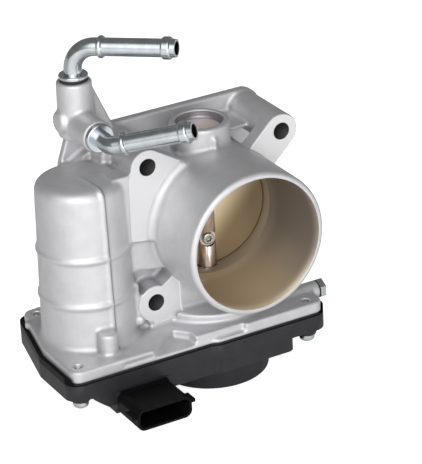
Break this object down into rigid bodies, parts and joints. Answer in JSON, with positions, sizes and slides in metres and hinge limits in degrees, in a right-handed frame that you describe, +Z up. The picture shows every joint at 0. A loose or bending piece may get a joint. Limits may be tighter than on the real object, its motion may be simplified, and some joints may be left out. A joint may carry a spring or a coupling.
{
  "type": "throttle body",
  "caption": "Electronic throttle body: cast housing with round air bore, motor can, butterfly plate on a vertical shaft, gear cover with plug socket, and two bent coolant fittings.",
  "frame": {"origin": "centre of the air bore on the manifold mounting face", "axes": "+Y out of the mounting face towards the manifold, inlet towards -Y, +Z up along the throttle shaft, +X away from the motor"},
  "size_m": [0.1439, 0.0963, 0.1783],
  "materials": {
    "cast_alloy": "as cast, fine grained, machined on the sealing faces",
    "charcoal_plastic": "moulded, satin",
    "black_plastic": "moulded, satin",
    "shaft_steel": "ground, bright",
    "dark_steel": "ground and coated dark",
    "bright_steel": "ground",
    "zinc_steel": "zinc plated",
    "plated_tube": "zinc plated, bluish",
    "pressed_cap": "bright pressed steel",
    "spring_steel": "oil tempered wire",
    "gold_plate": "satin brass-coloured plate",
    "black_rubber": "moulded",
    "gear_plastic": "natural moulded nylon",
    "ferrite": "sintered",
    "lamination_steel": "stacked sheet",
    "copper_wire": "copper",
    "sintered_bronze": "sintered",
    "carbon": "pressed carbon",
    "tinned_copper": "tin plated",
    "board_green": "circuit board"
  },
  "bodies": {
    "housing": {"throttle_body_casting": "cast_alloy", "upper_needle_bearing": "bright_steel", "lower_bearing_outer_ring": "bright_steel", "lower_bearing_balls": "bright_steel", "upper_shaft_seal": "black_rubber", "lower_shaft_seal": "black_rubber", "upper_shaft_cap": "pressed_cap", "return_spring": "spring_steel", "intermediate_gear_pin": "bright_steel", "motor_case": "zinc_steel", "motor_end_cap": "black_plastic", "motor_bushes": "sintered_bronze", "motor_magnets": "ferrite", "motor_brushes": "carbon", "brush_holders": "sintered_bronze", "motor_wave_spring": "spring_steel", "motor_screws": "zinc_steel", "motor_terminals": "tinned_copper", "gear_cover": "charcoal_plastic", "cover_seal": "black_rubber", "cover_screws": "zinc_steel", "connector_pins": "tinned_copper", "sensor_board": "board_green", "upper_coolant_nipple": "plated_tube", "lower_coolant_nipple": "plated_tube", "nipple_o_rings": "black_rubber", "stop_screw": "dark_steel", "stop_locknut": "zinc_steel"},
    "throttle": {"throttle_shaft": "shaft_steel", "throttle_plate": "gold_plate", "plate_screws": "zinc_steel", "lower_bearing_inner_ring": "bright_steel", "sector_gear": "gear_plastic", "sector_insert": "zinc_steel", "shaft_nut": "zinc_steel", "sensor_magnet": "ferrite"},
    "idler": {"intermediate_gear": "gear_plastic"},
    "armature": {"motor_shaft": "bright_steel", "armature_core": "lamination_steel", "armature_windings": "copper_wire", "commutator": "copper_wire", "motor_pinion": "sintered_bronze"}
  },
  "joints": [
    {"name": "throttle_turn", "type": "hinge", "parent": "housing", "child": "throttle", "pos_m": [0, -0.026, 0], "axis": [0, 0, -1], "range_deg": [0, 83]},
    {"name": "idler_turn", "type": "hinge", "parent": "housing", "child": "idler", "pos_m": [-0.03375, -0.026, -0.058], "axis": [0, 0, -1], "range_deg": [-238, 0]},
    {"name": "armature_turn", "type": "hinge", "parent": "housing", "child": "armature", "pos_m": [-0.06375, -0.026, 0], "axis": [0, 0, -1], "range_deg": [0, 950]}
  ],
  "couplings": [
    {"joint": "idler_turn", "follows": "throttle_turn", "ratio": -2.8571},
    {"joint": "armature_turn", "follows": "throttle_turn", "ratio": 11.429}
  ]
}
